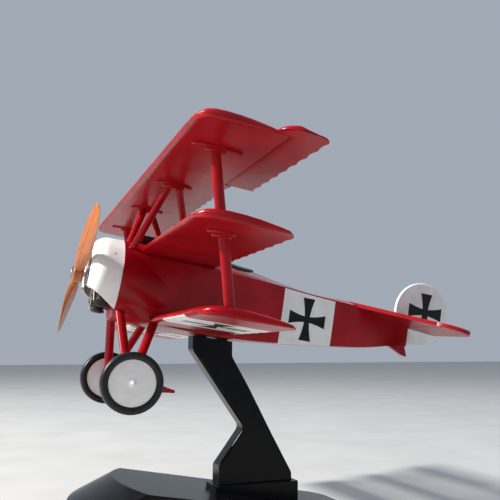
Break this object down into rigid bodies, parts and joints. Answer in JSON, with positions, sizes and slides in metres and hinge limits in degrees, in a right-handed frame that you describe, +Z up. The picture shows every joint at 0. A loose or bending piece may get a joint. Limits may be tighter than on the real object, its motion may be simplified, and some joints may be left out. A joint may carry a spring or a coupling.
{
  "type": "triplane scale model",
  "caption": "Scale model of a three-winged fighter with a turning propeller and wheels, held nose-up on a black arm-and-base display stand that it lifts off.",
  "frame": {"origin": "centre of the flat underside of the display stand's base", "axes": "+Z up, -Y towards the model's nose, +X towards its port wing tip; the airframe is pitched 8.3 degrees nose-up"},
  "size_m": [0.114, 0.0902, 0.0726],
  "materials": {
    "paint_red": "gloss",
    "paint_white": "satin",
    "screw_steel": "satin",
    "black_trim": "matte",
    "seat_tan": "matte",
    "gun_black": "satin",
    "tyre_black": "matte",
    "crankcase_silver": "satin",
    "cylinder_grey": "satin",
    "propeller_wood": "satin",
    "hub_metal": "satin",
    "stand_black": "gloss"
  },
  "bodies": {
    "stand": {"stand_base": "stand_black", "stand_bottom_plate": "stand_black", "stand_base_screws": "screw_steel", "stand_arm_screw": "screw_steel", "stand_arm": "stand_black"},
    "aircraft": {"upper_wing": "paint_red", "middle_wing": "paint_red", "lower_wing": "paint_red", "tailplane": "paint_red", "fuselage_body": "paint_red", "front_decking": "paint_red", "belly_pan": "paint_red", "tail_skid": "paint_red", "axle_fairing": "paint_red", "left_upper_interplane_strut": "paint_red", "right_upper_interplane_strut": "paint_red", "left_lower_interplane_strut": "paint_red", "right_lower_interplane_strut": "paint_red", "left_cabane_strut": "paint_red", "right_cabane_strut": "paint_red", "left_gear_vee": "paint_red", "right_gear_vee": "paint_red", "left_aileron": "paint_red", "right_aileron": "paint_red", "rudder": "paint_white", "cowling": "paint_white", "belly_screw": "screw_steel", "axle_rod": "screw_steel", "cockpit_coaming": "black_trim", "cockpit_tub": "black_trim", "pilot_seat": "seat_tan", "left_gun": "gun_black", "right_gun": "gun_black", "engine_crankcase": "crankcase_silver", "engine_cylinders": "cylinder_grey", "engine_pushrods": "crankcase_silver", "propeller_pin": "hub_metal"},
    "propeller": {"propeller": "propeller_wood", "propeller_hub_plate": "hub_metal"},
    "port_wheel": {"left_tyre": "tyre_black", "left_wheel_disc": "paint_white"},
    "starboard_wheel": {"right_tyre": "tyre_black", "right_wheel_disc": "paint_white"}
  },
  "joints": [
    {"name": "aircraft_lift_off", "type": "slide", "parent": "stand", "child": "aircraft", "axis": [0, 0.1444, 0.9895], "range_m": [0, 0.03]},
    {"name": "propeller_spin", "type": "hinge", "parent": "aircraft", "child": "propeller", "pos_m": [0, -0.02996, 0.0535], "axis": [0, 0.9895, -0.1444], "continuous": true},
    {"name": "port_wheel_spin", "type": "hinge", "parent": "aircraft", "child": "port_wheel", "pos_m": [0.0154, -0.02153, 0.03237], "axis": [1, 0, 0], "continuous": true},
    {"name": "starboard_wheel_spin", "type": "hinge", "parent": "aircraft", "child": "starboard_wheel", "pos_m": [-0.0154, -0.02153, 0.03237], "axis": [1, 0, 0], "continuous": true}
  ]
}
